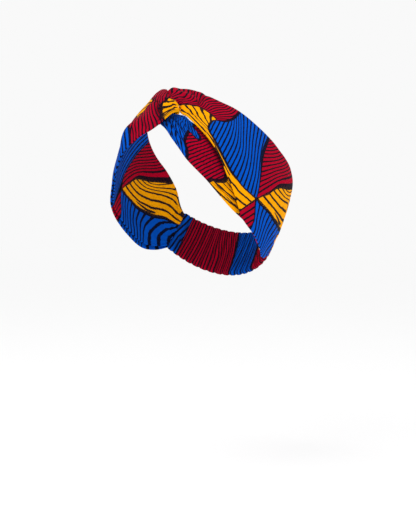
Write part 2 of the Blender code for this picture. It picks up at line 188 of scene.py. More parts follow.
SIDE_PATCHES = [
    Patch("yellow", [[(-5, -5), (28, -5)], HUB_TO_NAPE_CROWN[::-1], HUB_TO_NAPE, [(-5, 32), (-5, -5)]],
          [[(98, 78), (88, 74.5), (77, 72.5), (66, 70.5), (52, 68.5), (38, 63.5), (28, 59.5), (13, 45),
            (-5, 38)],
           [(90, 44), (74.5, 45.5), (63, 43.5), (54, 39.5), (45, 33), (30, 20), (15, 8)],
           [(76, 34), (64, 33), (55, 31), (46, 25), (38, 17), (28, 5), (20, -5)]],
          [3.5, 2], 0.16),
    Patch("blue", [HUB_TO_NAPE[::-1], HUB_TO_NAPE_FACE, [(68, 100), (-5, 100)], [(-5, 100), (-5, 32)]],
          [[(94, 68), (89, 76), (80, 84), (74, 90), (71, 101)],
           [(85, 64), (80, 72), (73, 82), (64, 90), (58, 98)],
           [(69, 58), (67, 68), (63, 78), (54, 89), (46, 98)],
           [(51, 55), (50, 68), (47, 80), (40, 88), (33, 98)],
           [(14, 40), (24, 54), (30, 76), (27, 88), (22, 100)], [(-12, 44), (-6, 70), (-8, 100)]],
          [1.5, 2.2, 2.4, 2.8, 3.5], 0.18),
    Patch("red", [HUB_TO_NAPE_FACE[::-1], HUB_TO_FACE, [(95, 100), (68, 100)]],
          [[(90, 66), (93, 79), (95, 88), (98, 101)], [(70, 76), (75.5, 91), (79, 104)]],
          [3.5], 0.18),
    Patch("red", [[(28, -5), (108, -5)], HUB_TO_CROWN[::-1], HUB_TO_NAPE_CROWN],
          [[(89, 80), (81, 62), (76, 53), (73, 44), (67, 36), (54, 27), (40, 14), (22, -8)],
           [(96, 80), (90, 64), (86, 52), (78, 35), (69, 23), (56, 9), (46, -5)],
           [(108, 60), (101, 48), (88, 26), (75, 10), (64, -5)],
           [(120, 48), (105, 30), (89, 10), (78, -5)]],
          [1.5, 4, 3], 0.19),
]

# Thick dark lines of the print: curves through places along and across, with the line's width in mm
SIDE_LINES = [
    [(77.5, 49, 1.6), (74.5, 41, 3.4), (69, 33.5, 5.2), (57, 23.5, 6.2), (44, 10.5, 6.4), (29, -6, 6.4)],
    [(84, 71, 2.0), (66, 67.5, 3.0), (52, 65.5, 4.2), (39, 60.5, 4.6), (29, 55, 4.6), (16, 43, 4.0),
     (5, 37, 3.0)],
    [(57, 60.5, 1.0), (48, 58.5, 2.4), (38, 55.5, 3.0), (30, 50, 2.4)],
]

# Thick line towards the crown, on the ends of the strips that show
CROWN_LINE = [(97, 56, 1.6), (104, 43, 3.0), (108, 31, 4.2), (109.5, 18, 4.6), (109, 3, 4.2),
              (109, -5, 4.0)]

# Boundaries of the patches beside the knot
BLUE_TO_KNOT = [(150, -5), (150.4, 5), (151.5, 14), (153, 26), (155, 34), (158.6, 44), (165.7, 53),
                (169, 60), (170, 67), (170.5, 80)]
FAN_TO_KNOT = [(166.5, 54), (168.5, 50.5), (171.5, 49), (177, 49.5), (185.7, 50.7), (191, 54), (193, 61),
               (197, 68), (202, 74), (210, 79.5), (214.5, 86), (216, 100)]
FRONT_BLUE_END = [(304, -5), (303.5, 1), (300.7, 8.6), (298, 18.6), (293.6, 24), (291.4, 31), (290, 43),
                  (288, 54), (288.5, 61)]
FRONT_TONGUE = [(288.5, 61), (294, 61.5), (300, 63), (301.5, 69), (299, 76), (292, 78), (288.5, 84),
                (288, 100)]
FRONT_RED_END = [(331.4, -5), (331.4, 0), (333.6, 8.6), (338, 14), (341.4, 21.4), (342.5, 27), (343.5, 33),
                 (341.4, 42), (338, 52), (334, 64), (330, 80), (328, 100)]

LEFT_PRINT = [
    Patch("yellow", [[(-5, 32), (5, 36), (10, 40), (14, 52), (14.5, 62), (12, 70), (6, 76), (-5, 78)],
                     [(-5, 78), (-5, 32)]],
          [[(-10, 20), (-10, 100)], [(40, 20), (40, 100)]],
          [1], 0.0),
    Patch("red", rectangle(145, 262),
          [[(150, -5), (151.5, 14), (156, 28), (164, 44), (171, 54)],
           [(172, -5), (173, 9), (178.6, 18.6), (181.4, 28.6), (182, 43), (184, 50), (190, 62)],
           [(193, -5), (193.5, 10), (192.5, 30), (191, 44), (197, 58), (204, 72), (212, 84), (216, 100)],
           [(206, -5), (204, 9), (201.4, 36), (201.4, 47), (210, 64), (220, 80), (226, 92)],
           [(216, -8), (212.3, 14), (212.6, 36), (214.5, 48), (222, 58), (232, 72), (244, 100)],
           [(268, -5), (268, 100)]],
          [7, 4, 3, 2, 12], 0.22),
    Patch("yellow", [FAN_TO_KNOT, [(216, 100), (169, 100)], [(169, 100), (170.5, 90), (170.5, 80)],
                     [(170.5, 80), (170, 67), (169, 60), (166.5, 54)]],
          [[(165, 86), (168, 72), (168, 60), (168, 44)],
           [(162, 81), (171.4, 74.3), (180, 64.3), (183, 57), (184.3, 51.4), (186, 42)],
           [(158, 82), (171.4, 80), (181.4, 78), (188.6, 71.4), (193, 67), (202, 56)],
           [(155, 88), (170, 86), (190, 84), (207, 80), (222, 74)],
           [(155, 99), (170, 98), (190, 96), (210, 95), (226, 92)]],
          [1.5, 1, 1.5, 1], 0.17),
    Patch("yellow", [HUB_TO_KNOT, [(170.5, 80), (170.5, 90), (169, 100)], [(169, 100), (95, 100)],
                     HUB_TO_FACE[::-1]],
          [[(80, 63), (96, 71), (110, 78), (120, 81.5), (130, 85.5), (150, 88), (175, 86)],
           [(80, 80), (93, 87), (101, 92), (110, 97), (130, 104), (150, 106), (175, 106)]],
          [2.5], 0.14),
    Patch("blue", [[(108, -5), (150, -5)], BLUE_TO_KNOT, HUB_TO_KNOT[::-1], HUB_TO_CROWN],
          [[(112, -8), (111, 18), (106, 40), (96, 60), (86, 76)],
           [(152, -8), (145, 13), (138, 36), (131, 57), (128.5, 92)],
           [(160, 8), (154.5, 34), (153, 50), (152.5, 80), (152.5, 94)], [(171, 46), (171, 94)]],
          [7, 5, 4.5], 0.19),
    Patch("red", rectangle(262, 345),
          [[(298.5, -5), (302.7, 20), (306.5, 40), (310.5, 60), (318, 100)],
           [(330, -5), (335, 20), (339, 40), (343.5, 60), (351, 100)]],
          [9], 0.21),
    Patch("blue", [[(236, -5), (304, -5)], FRONT_BLUE_END, FRONT_TONGUE, [(288, 100), (236, 100)],
                   [(236, 100), (236, -5)]],
          [[(283, -5), (275, 2), (269, 7), (265.5, 17), (258.5, 34), (250.5, 56), (240.5, 100)],
           [(292, -8), (286, 2), (280, 8), (275.5, 17), (268.5, 40), (262, 60), (254, 100)],
           [(303, 0), (297, 14), (290, 26), (283.5, 36), (275.5, 46), (265, 78), (258, 104)],
           [(300, 35), (292, 45), (287.5, 51), (282, 58.5), (276, 66.5), (267, 90), (262, 105)],
           [(312, 50), (300, 66), (290, 78), (282, 92), (276, 108)]],
          [1.5, 3, 3, 5], 0.20),
    Patch("yellow", [FRONT_RED_END[::-1], [(331.4, -5), (378, -5)], [(378, -5), (381, 30), (386, 100)],
                     [(386, 100), (328, 100)]],
          [[(322, -7), (345, -5), (362, -1), (378, 5), (392, 8)],
           [(322, 8), (336, 9.7), (344, 12.6), (351, 14.6), (366, 18.4), (392, 18)],
           [(322, 21), (340, 22.3), (357, 23.5), (392, 27)], [(322, 62), (350, 64), (392, 62)],
           [(322, 104), (350, 104), (392, 104)]],
          [1.5, 1, 5, 5], 0.13),
]

LEFT_LINES = [
    CROWN_LINE,
    [(150.5, -5, 3.0), (152, 14, 3.2), (154, 28, 3.0), (158.6, 43, 2.6), (165, 52, 2.0)],
    [(115, 83.5, 1.6), (130, 88, 3.2), (144, 90, 4.0), (158, 88, 4.4), (168, 84, 3.6), (170.5, 76, 2.6),
     (169.5, 62, 2.0)],
    [(168, 51.5, 1.8), (177, 49.5, 2.2), (185.7, 50.7, 2.6), (191.5, 55, 2.6), (197, 68, 2.4),
     (210, 79.5, 1.8)],
    [(128, 92.5, 1.6), (142, 94.5, 2.0), (156, 94, 2.0), (170, 91, 1.4)],
    [(303.5, -5, 3.6), (301.5, 8, 4.2), (297, 19, 4.6), (292.5, 28, 4.0), (290, 43, 3.6), (288.5, 60, 3.6)],
    [(288.5, 61, 2.6), (300, 63.5, 2.8), (302, 69, 3.4), (299, 77, 3.4), (290, 80, 3.0), (287, 96, 3.6)],
    [(331, -5, 3.4), (333, 8, 3.8), (338, 15, 4.6), (342, 24, 5.6), (343.5, 33, 5.6), (341, 44, 4.6)],
    [(333, 8.7, 1.0), (342, 9.5, 1.4), (348, 12.6, 1.8), (354, 15.5, 2.4), (360, 17.2, 3.0),
     (366, 18.4, 3.6)],
    [(355, 12.4, 1.0), (359, 12.2, 1.6), (363, 12.6, 1.0)],
    [(352, 7.0, 1.0), (358, 7.6, 1.6), (366, 8.6, 1.8), (373, 12, 1.8)],
    [(366, 18.4, 2.6), (370, 16, 2.0), (374, 12, 1.8)],
]

# Boundaries of the patches on the right strip beside the knot
RIGHT_BLUE_TO_KNOT = [(148, -5), (149, 20), (152, 38), (158, 50), (166, 60), (175, 66), (181, 74),
                      (183, 84), (184, 100)]
KNOT_YELLOW_START = [(222, -5), (217, 4), (213.6, 9), (213, 20), (211.4, 29), (211.4, 43), (213, 52),
                     (214, 66), (215, 80), (218, 100)]

RIGHT_PRINT = [
    Patch("blue", rectangle(262, 350), [[(250, -5), (256, 100)], [(350, -5), (350, 100)]], [18], 0.20),
    Patch("red", rectangle(146, 272),
          [[(148, -5), (160, 25), (170, 50), (180, 75), (185, 100)],
           [(183, -5), (192, 25), (202, 50), (210.5, 75), (215, 100)],
           [(214, -5), (219, 25), (224, 50), (229, 75), (231, 100)], [(272, -5), (272, 100)]],
          [9, 6, 12], 0.21),
    Patch("blue", [[(108, -5), (148, -5)], RIGHT_BLUE_TO_KNOT, [(184, 100), (95, 100)], HUB_TO_FACE[::-1],
                   HUB_TO_CROWN],
          [[(112, -8), (111, 18), (106, 40), (96, 60), (86, 76)],
           [(150, -8), (154, 30), (158, 60), (163, 104)],
           [(156, -8), (168, 40), (182, 70), (188, 104)]],
          [9, 5], 0.20),
    Patch("yellow", [[(158, 8), (178, 17), (190, 27), (193, 36)], [(193, 36), (188, 47), (176, 50)],
                     [(176, 50), (164, 32), (158, 8)]],
          [[(150, 10), (178, 14), (200, 26)], [(150, 40), (178, 50), (200, 52)]],
          [4], 0.16),
    Patch("yellow", [KNOT_YELLOW_START[::-1], [(222, -5), (244, -5)], [(244, -5), (244, 100)],
                     [(244, 100), (218, 100)]],
          [[(204, -8), (226, -8), (246, -8)], [(204, 22), (214, 23), (224, 24.5), (246, 24)],
           [(204, 46), (214, 48), (224, 50), (246, 50)],
           [(204, 68), (214, 69), (224, 71), (246, 71)], [(204, 96), (224, 98), (246, 98)]],
          [1.5, 1, 1, 4], 0.06),
]

# Dark lines of the right strip: outlines of the print, and over the knot's yellow dark strokes that are
# painted fold shadows
RIGHT_LINES_AND_FOLD_SHADOWS = [
    CROWN_LINE,
    [(217, 3, 1.6), (213, 9, 2.4), (212, 20, 2.6), (210.5, 29, 3.0), (210, 43, 3.4), (212, 54, 3.0),
     (213.5, 68, 3.0), (214.5, 82, 3.0)],
    # Painted fold shadows: the next four strokes lie along the knot's fold valleys and under its lower edge
    [(209, 45, 5.0), (213, 44.6, 6.0), (217, 44.4, 6.0), (220, 42, 5.4), (222.5, 37, 4.4), (226, 30, 2.4)],
    [(211, 21.8, 3.0), (215, 20.2, 3.6), (218, 17, 3.4), (221, 12, 2.4)],
    [(214, 76, 4.0), (218, 69, 5.4), (222, 67.6, 5.0), (225, 60, 3.0)],
    [(215, 81, 2.4), (219, 77, 3.0), (224, 77, 2.4)],
    [(184, 70, 2.0), (183.5, 84, 2.2), (185, 98, 2.0)],
    [(191.5, 24, 2.4), (193.5, 34, 2.6), (189, 46, 2.6), (180, 51, 2.0)],
    # Painted shadow under the knot's lower edge, drawn as a dark stroke
    [(213, 83, 3.0), (218, 85, 2.0), (226, 86, 1.6)],
]

# Soft ridge, or valley where its height is below zero, from one place on the cloth to another.
# Height and half width are in mm.
Fold = namedtuple("Fold", "along across end_along end_across height half_width")

LEFT_FOLDS = [
    Fold(187.5, -4, 189.5, 52, -1.3, 2.4),
    Fold(193.0, -4, 195.0, 60, 0.9, 2.8),
    Fold(204.9, 5.5, 196.9, 26, -1.2, 2.2),
    Fold(196.9, 26, 189.0, 50, -1.2, 2.2),
    Fold(198.0, 12, 206.0, 98, 0.6, 2.6),
    Fold(203.5, 30, 210.0, 98, -0.8, 2.0),
    Fold(172.0, 62, 208.0, 90, 0.6, 2.2),
    Fold(176.0, 70, 208.0, 94, -0.6, 1.8),
    Fold(160.0, 20, 184.0, 30, 0.4, 4.0),
    Fold(264.0, 8, 292.0, 3, -0.6, 2.6),
    Fold(264.0, 22, 300.0, 10, 0.8, 3.0),
    Fold(264.0, 32, 296.0, 21, -0.7, 2.6),
    Fold(264.0, 40, 302.0, 30, 0.7, 3.0),
    Fold(262.0, 50, 288.0, 47, -1.2, 4.0),
    Fold(266.0, 60, 306.0, 54, 0.8, 3.2),
    Fold(264.0, 69, 302.0, 66, -0.7, 2.6),
    Fold(266.0, 77, 304.0, 76, 0.7, 3.0),
    Fold(264.0, 86, 304.0, 86, -0.6, 2.8),
    Fold(330.0, 2, 372.0, 18, -1.2, 1.8),
    Fold(336.0, 14, 376.0, 24, 0.9, 2.4),
    Fold(342.0, 30, 376.0, 30, -0.9, 2.0),
    Fold(312.0, 10, 340.0, 16, 0.6, 3.2),
    Fold(300.0, 20, 336.0, 28, -0.6, 2.6),
    Fold(300.0, 36, 338.0, 44, -0.8, 3.0),
    Fold(296.0, 50, 330.0, 56, 0.6, 3.0),
]

RIGHT_FOLDS = [
    Fold(188.0, 20, 226.0, 12, 0.8, 3.0),
    Fold(197.0, 30, 211.0, 44, -1.2, 2.6),
    Fold(203.0, 36, 212.5, 66, -1.4, 2.6),
    Fold(186.0, 36, 226.0, 26, -1.2, 2.8),
    Fold(196.0, 44, 206.0, 66, 0.9, 3.2),
    Fold(206.0, 33, 226.0, 36, 0.9, 3.0),
    Fold(208.0, 47, 226.0, 50, -1.5, 2.4),
    Fold(188.0, 58, 203.0, 88, -0.9, 2.6),
    Fold(208.0, 60, 226.0, 60, 0.7, 3.0),
    Fold(210.0, 72, 226.0, 72, -0.8, 2.0),
    Fold(186.0, 72, 200.0, 92, 0.6, 3.0),
    Fold(208.0, 24, 226.0, 24, -0.9, 1.8),
    Fold(206.0, 6, 226.0, 8, -0.6, 2.0),
]

# Soft shadow where a strip lies under another one. Half width is in mm, depth is the share of light lost.
Shadow = namedtuple("Shadow", "along across end_along end_across depth half_width")

LEFT_SHADOWS = [
    Shadow(266.0, -20, 266.0, 115, 0.85, 6.0),
    Shadow(342.0, 40, 322.0, 64, 0.60, 3.6),
    Shadow(328.0, 56, 300.0, 90, 0.75, 4.6),
    Shadow(284.0, 66, 298.0, 104, 0.50, 4.6),
    Shadow(262.0, 50, 290.0, 47, 0.60, 6.0),
    Shadow(300.0, 88, 292.0, 110, 0.60, 5.0),
]

RIGHT_SHADOWS = [
    Shadow(208.0, 47, 220.0, 50, 0.70, 2.6),
    Shadow(206.0, 40, 213.0, 76, 0.55, 3.0),
    Shadow(212.0, 84, 232.0, 90, 0.80, 5.0),
    Shadow(204.0, 2, 214.0, 6, 0.40, 3.4),
]

# Painted shade in the valleys: how much darker they are, and the depth in mm at which they are darkest
VALLEY_SHADE = 0.5
VALLEY_DEPTH = 1.6

# Dark outline of a patch: its half width in mm. The rings are cut into pieces of a few mm, and the dye is
# looked up a little beside each piece.
BORDER_HALF = 0.8
RING_PIECE = 3.0
BESIDE_RING = 0.5

# Narrowest band in mm over which stripes are counted, before the first guide and between two guides
NARROWEST_BEFORE = 0.5
NARROWEST_BETWEEN = 0.3

# Gathers where a strip runs into the casing
NAPE_GATHERS = 9
NAPE_GATHER_HEIGHT = 0.55
NAPE_GATHER_REACH = 34.0

# Cloth pattern. Scales of the noise count its waves in 100 mm of cloth, and the threads' scale is in
# radians per 100 mm. Shares are of a stripe, and BORDER_SOFT is in mm. SLUB_HEIGHT counts thread heights.
WOBBLE_SCALE = 22.0
WOBBLE_SHARE = 0.22
SWELL_SCALE = 60.0
SWELL_SHARE = 0.10
BORDER_SOFT = 0.15
PATCHY_SCALE = 9.0
FLECK_SCALE = 240.0
THREAD_SCALE = 1400.0
SLUB_SCALE = 130.0
SLUB_HEIGHT = 1.6
BUMP_STRENGTH = 0.22
BUMP_HEIGHT = 0.12 * MM

# Camera at the photograph's viewing angle
CAMERA_PLACE = (1.17803, -1.35517, 0.12557)
CAMERA_AZIMUTH_DEG = 40.755
CAMERA_ELEVATION_DEG = 6.294
CAMERA_LENS_MM = 129.6
CAMERA_SENSOR_MM = 36.0

# Floor and light
FLOOR_HEIGHT = -0.29
FLOOR_RADIUS = 9.0
FLOOR_FADE_START = 0.5
FLOOR_FADE_END = 2.2
BACKGROUND = 0.947

FRONT = np.array([math.sin(math.radians(YAW_DEG)), -math.cos(math.radians(YAW_DEG)), 0.0])
UP = np.array([0.0, 0.0, 1.0])
SIDE_AXIS = np.cross(UP, FRONT)
KNOT_AXIS = math.cos(math.radians(TILT_DEG)) * FRONT + math.sin(math.radians(TILT_DEG)) * UP
CROWN_AXIS = math.cos(math.radians(TILT_DEG)) * UP - math.sin(math.radians(TILT_DEG)) * FRONT


def hollow_radius(direction):
    """Distance from the origin to the hollow's surface along unit directions."""
    x, y, z = np.moveaxis(direction, -1, 0)
    below = np.clip(0.5 - z / 0.3, 0.0, 1.0)
    below = below * below * (3.0 - 2.0 * below)
    above = np.clip(z, 0.0, 1.0)
    half_width = HALF_WIDTH * (1.0 + BACK_WIDENING * y)
    half_height = np.where(z > 0.0, CROWN_HEIGHT, LOWER_DEPTH)
    depth = y - NAPE_LEAN * below * z - CROWN_SET_BACK * above**2
    return 1.0 / np.sqrt((x / half_width)**2 + (depth / HALF_DEPTH)**2 + (z / half_height)**2)


def place(turn, rise, lift):
    """Points at angles round the ring and towards the crown, lift mm over the hollow."""
    turn = np.radians(turn)
    rise = np.radians(rise)
    direction = (
        (np.cos(rise) * np.sin(turn))[..., None] * SIDE_AXIS
        + (np.cos(rise) * np.cos(turn))[..., None] * KNOT_AXIS
        + np.sin(rise)[..., None] * CROWN_AXIS
    )
    return direction * (hollow_radius(direction) + lift * MM)[..., None]


def smooth_rows(rows, steps):
    """Catmull-Rom curve through the rows, with a number of steps between two rows."""
    rows = np.array(rows, float)
    ends = np.vstack([2.0 * rows[0] - rows[1], rows, 2.0 * rows[-1] - rows[-2]])
    curve = []
    for i in range(1, len(ends) - 2):
        before, here, there, after = ends[i - 1:i + 3]
        for step in range(steps):
            t = step / steps
            linear = (there - before) * t
            square = (2.0 * before - 5.0 * here + 4.0 * there - after) * t**2
            cube = (3.0 * here - before - 3.0 * there + after) * t**3
            curve.append(here + 0.5 * (linear + square + cube))
    curve.append(rows[-1])
    return np.array(curve)


def even_stations(sections):
    """Section table at even steps along the strip's middle line, and each station's distance in mm."""
    table = smooth_rows(sections, ROW_STEPS)
    turn = 0.5 * (table[:, 0] + table[:, 2])
    rise = 0.5 * (table[:, 1] + table[:, 3])
    line = place(turn, rise, table[:, 6])
    steps = np.linalg.norm(np.diff(line, axis=0), axis=1) / MM
    distance = np.concatenate([[0.0], np.cumsum(steps)])
    along = np.linspace(0.0, distance[-1], round(distance[-1] / STATION_STEP) + 1)
    return np.array([np.interp(along, distance, column) for column in table.T]).T, along


def strip_middle(table, spots, relief):
    """Middle surface of a strip, stations by places across, and its wall at each of them."""
    turn_a, rise_a, turn_b, rise_b = (column[:, None] for column in table[:, :4].T)
    turn = turn_a + (turn_b - turn_a) * spots
    rise = rise_a + (rise_b - rise_a) * spots
    fine_lifts = smooth_rows(table[:, 4:9].T, ROW_STEPS)
    fine_spots = np.linspace(0.0, 1.0, len(fine_lifts))
    lift = np.array([np.interp(spots, fine_spots, column) for column in fine_lifts.T])
    lift = lift + table[:, 10:] * np.sin(2.0 * math.pi * PLEATS * spots) + relief
    wall = np.broadcast_to(table[:, 9:10], lift.shape) * MM
    return place(turn, rise, lift), wall


def sheet_normals(middle):
    """Unit normals of a grid of points."""
    normals = np.cross(np.gradient(middle, axis=1), np.gradient(middle, axis=0))
    return normals / np.linalg.norm(normals, axis=-1, keepdims=True)


def rounded_loops(middle, wall):
    """Closed cross sections with round edges round a middle surface."""
    half = 0.5 * wall[..., None]
    normals = sheet_normals(middle)
    for end in (0, -1):
        across_cut = np.cross(CROWN_AXIS, middle[end])
        across_cut /= np.linalg.norm(across_cut, axis=-1, keepdims=True)
        normals[end] -= np.sum(normals[end] * across_cut, axis=-1, keepdims=True) * across_cut
        normals[end] /= np.linalg.norm(normals[end], axis=-1, keepdims=True)
    outer = middle + normals * half
    inner = middle - normals * half
    side_a = middle[:, 0] - middle[:, 1]
    side_b = middle[:, -1] - middle[:, -2]
    side_a /= np.linalg.norm(side_a, axis=-1, keepdims=True)
    side_b /= np.linalg.norm(side_b, axis=-1, keepdims=True)
    edge_a = []
    edge_b = []
    for step in range(1, EDGE_STEPS + 1):
        angle = math.pi * step / (EDGE_STEPS + 1)
        reach = math.sin(angle) * half[:, 0]
        height = math.cos(angle) * half[:, 0]
        edge_b.append(middle[:, -1] + side_b * reach + normals[:, -1] * height)
        edge_a.append(middle[:, 0] + side_a * reach - normals[:, 0] * height)
    return np.concatenate([outer, np.stack(edge_b, 1), inner[:, ::-1], np.stack(edge_a, 1)], axis=1)


def round_the_loop(grid):
    """Values of a grid over a strip, put on the points of its closed cross sections."""
    edge_b = np.repeat(grid[:, -1:], EDGE_STEPS, axis=1)
    edge_a = np.repeat(grid[:, :1], EDGE_STEPS, axis=1)
    return np.concatenate([grid, edge_b, grid[:, ::-1], edge_a], axis=1)


def body_from_loops(name, loops):
    """One closed smooth body through closed cross sections of equal count, with capped ends."""
    stations, count = loops.shape[:2]
    here = np.arange(count)
    following = np.roll(here, -1)
    starts = np.arange(stations - 1)[:, None] * count
    ahead = starts + count
    quads = np.stack([starts + here, starts + following, ahead + following, ahead + here], axis=-1)
    faces = quads.reshape(-1, 4).tolist()
    last = (stations - 1) * count
    faces.append(here[::-1].tolist())
    faces.append((last + here).tolist())
    mesh = bpy.data.meshes.new(name)
    mesh.from_pydata(loops.reshape(-1, 3).tolist(), [], faces)
    mesh.shade_smooth()
    body = bpy.data.objects.new(name, mesh)
    bpy.context.scene.collection.objects.link(body)
    if mesh_volume(mesh) < 0.0:
        mesh.flip_normals()
    return body


def mesh_volume(mesh):
    """Signed volume of a closed mesh, positive where its faces point out."""
    mesh.calc_loop_triangles()
    points = np.empty(len(mesh.vertices) * 3)
    mesh.vertices.foreach_get("co", points)
    points = points.reshape(-1, 3)
    corners = np.empty(len(mesh.loop_triangles) * 3, int)
    mesh.loop_triangles.foreach_get("vertices", corners)
    a, b, c = (points[corners.reshape(-1, 3)[:, k]] for k in range(3))
    return float(np.sum(np.einsum("ij,ij->i", a, np.cross(b, c)))) / 6.0


def smooth_curve(points, steps=6):
    """Dense points of a smooth curve through a few places."""
    if len(points) == 2:
        return np.array(points, float)
    return smooth_rows(points, steps)


def distance_to_piece(spots, start, end):
    """Distance of places to a straight piece, their signed turn from it, and their share along it."""
    run = end - start
    offset = spots - start
    t = np.clip(offset @ run / max(float(run @ run), 1e-9), 0.0, 1.0)
    gap = offset - t[:, None] * run
    return np.hypot(gap[:, 0], gap[:, 1]), run[0] * offset[:, 1] - run[1] * offset[:, 0], t


def distance_to_curve(spots, curve):
    """Distance of places to a curve, on which side of it they lie, and where they are nearest."""
    best = np.full(len(spots), np.inf)
    side = np.ones(len(spots))
    nearest = np.zeros(len(spots))
    for k, (start, end) in enumerate(zip(curve[:-1], curve[1:])):
        distance, turn, t = distance_to_piece(spots, start, end)
        closer = distance < best
        best = np.where(closer, distance, best)
        side = np.where(closer, np.where(turn >= 0.0, 1.0, -1.0), side)
        nearest = np.where(closer, k + t, nearest)
    return best, side, nearest


def inside_ring(spots, ring):
    """Whether places lie inside a closed ring, by counting its crossings."""
    inside = np.zeros(len(spots), bool)
    x, y = spots.T
    for start, end in zip(ring, np.roll(ring, -1, axis=0)):
        crosses = (start[1] > y) != (end[1] > y)
        rise = end[1] - start[1]
        if rise == 0.0:
            continue
        meets = start[0] + (end[0] - start[0]) * (y - start[1]) / rise
        inside ^= crosses & (x < meets)
    return inside


def stripe_phase(spots, guides, stripes):
    """Running count of stripes at places between the guide curves."""
    curves = [smooth_curve(guide) for guide in guides]
    offsets = []
    for k, curve in enumerate(curves):
        other = curves[k + 1] if k + 1 < len(curves) else curves[k - 1]
        towards = 1.0 if k + 1 < len(curves) else -1.0
        probe = other[len(other) // 2][None, :]
        distance, side, _ = distance_to_curve(spots, curve)
        facing = distance_to_curve(probe, curve)[1][0] * towards
        offsets.append(distance * side * facing)
    phase = offsets[0] * stripes[0] / np.maximum(offsets[0] - offsets[1], NARROWEST_BEFORE)
    count = 0.0
    for k in range(len(curves) - 1):
        ahead = np.maximum(offsets[k] - offsets[k + 1], NARROWEST_BETWEEN)
        between = count + stripes[k] * offsets[k] / ahead
        phase = np.where(offsets[k] >= 0.0, between, phase)
        count += stripes[k]
    return phase


def mirrored(patches, length):
    """The same patches, counted from the strip's other end."""
    turned = []
    for patch in patches:
        outline = [[(length - x, y) for x, y in edge] for edge in patch.outline]
        guides = [[(length - x, y) for x, y in guide] for guide in patch.guides]
        turned.append(patch._replace(outline=outline, guides=guides))
    return turned


def mirrored_lines(lines, length):
    """The same dark lines, counted from the strip's other end."""
    return [[(length - x, y, width) for x, y, width in line] for line in lines]


def even_ring(outline):
    """Closed ring of short straight pieces along the smooth edges of an outline."""
    ring = np.concatenate([smooth_curve(part)[:-1] for part in outline])
    pieces = []
    for start, end in zip(ring, np.roll(ring, -1, axis=0)):
        count = max(1, math.ceil(np.linalg.norm(end - start) / RING_PIECE))
        pieces.append(start + (end - start) * (np.arange(count) / count)[:, None])
    return np.concatenate(pieces)


def top_patch(spots, rings):
    """Number of the last ring that holds each place, or -1."""
    top = np.full(len(spots), -1)
    for k, ring in enumerate(rings):
        top[inside_ring(spots, ring)] = k
    return top


def distance_to_borders(spots, rings, dyes):
    """Distance of places to the pieces of the rings that part two different dyes."""
    best = np.full(len(spots), 20.0)
    for k, ring in enumerate(rings):
        ends = np.roll(ring, -1, axis=0)
        run = ends - ring
        length = np.maximum(np.hypot(*run.T), 1e-6)[:, None]
        aside = np.stack([-run[:, 1], run[:, 0]], axis=1) / length * BESIDE_RING
        middle = 0.5 * (ring + ends)
        left = top_patch(middle + aside, rings)
        right = top_patch(middle - aside, rings)
        shown = ((left == k) | (right == k)) & (dyes[left] != dyes[right])
        for start, end in zip(ring[shown], ends[shown]):
            best = np.minimum(best, distance_to_piece(spots, start, end)[0])
    return best


def paint(along, across, patches, lines):
    """Dye with stripe width, distance to the nearest outline or dark line, and stripe count at places on the
    cloth.
    """
    spots = np.stack([along.ravel(), across.ravel()], axis=1)
    rings = [even_ring(patch.outline) for patch in patches]
    names = np.array([patch.dye for patch in patches] + ["none"])
    top = top_patch(spots, rings)
    dye = np.zeros((len(spots), 4))
    phase = np.zeros(len(spots))
    for k, patch in enumerate(patches):
        inside = top == k
        if not inside.any():
            continue
        dye[inside, :3] = DYES[patch.dye]
        dye[inside, 3] = patch.line
        phase[inside] = stripe_phase(spots[inside], patch.guides, patch.stripes)
    edge = distance_to_borders(spots, rings, names)
    # Dark lines: the print's own, and on the right strip painted fold shadows at the knot
    for line in lines:
        curve = smooth_curve(line)
        distance, _, nearest = distance_to_curve(spots, curve[:, :2])
        width = np.interp(nearest, np.arange(len(curve)), curve[:, 2])
        edge = np.minimum(edge, distance - 0.5 * width + BORDER_HALF)
    shape = along.shape
    return dye.reshape(*shape, 4), edge.reshape(shape), phase.reshape(shape)


def put_print(body, along, across, shade, dye, edge, phase):
    """Cloth coordinates, shade and print values on a body's points."""
    mesh = body.data
    colours = mesh.attributes.new("print_dye", "FLOAT_COLOR", "POINT")
    colours.data.foreach_set("color", np.ascontiguousarray(dye, np.float32).ravel())
    for name, values in (("print_and_shadow_edge", edge), ("print_stripe", phase), ("fold_shade", shade)):
        layer = mesh.attributes.new(name, "FLOAT", "POINT")
        layer.data.foreach_set("value", np.ascontiguousarray(values, np.float32).ravel())
    corners = np.empty(len(mesh.loops), int)
    mesh.loops.foreach_get("vertex_index", corners)
    places = np.stack([along.ravel(), across.ravel()], axis=1)[corners] / 100.0
    cloth = mesh.uv_layers.new(name="Cloth")
    cloth.data.foreach_set("uv", places.astype(np.float32).ravel())


def soft_stroke(along, across, mark):
    """Strength from 0 to 1 at places on the cloth of a soft stroke that fades at its ends."""
    start = np.array([mark.along, mark.across], float)
    run = np.array([mark.end_along, mark.end_across], float) - start
    t = ((along - start[0]) * run[0] + (across - start[1]) * run[1]) / float(run @ run)
    held = np.clip(t, 0.0, 1.0)
    gap = np.hypot(along - start[0] - held * run[0], across - start[1] - held * run[1])
    return np.sin(math.pi * np.clip(0.12 + 0.76 * held, 0.0, 1.0)) * np.exp(-(gap / mark.half_width)**2)


def fold_relief(along, across, folds):
    """Height in mm of the folds at places on the cloth."""
    return sum(fold.height * soft_stroke(along, across, fold) for fold in folds)


def fold_shade(relief, along, across, shadows):
    """Share of light that reaches the cloth in valleys and beside an overlapping strip."""
    shade = 1.0 - VALLEY_SHADE * np.clip(-relief / VALLEY_DEPTH, 0.0, 1.0)
    for shadow in shadows:
        shade = shade * (1.0 - shadow.depth * soft_stroke(along, across, shadow))
    return shade


def soft_waves(along, across):
    """Slight unevenness of worn cloth, in mm."""
    slow = np.sin(along / 9.1 + 1.3 * np.sin(across / 17.0)) * np.sin(across / 12.7 + 0.6)
    quick = np.sin(along / 4.3 - across / 11.0) * np.sin(across / 6.1 + along / 31.0 + 1.1)
    return 0.13 * slow + 0.05 * quick


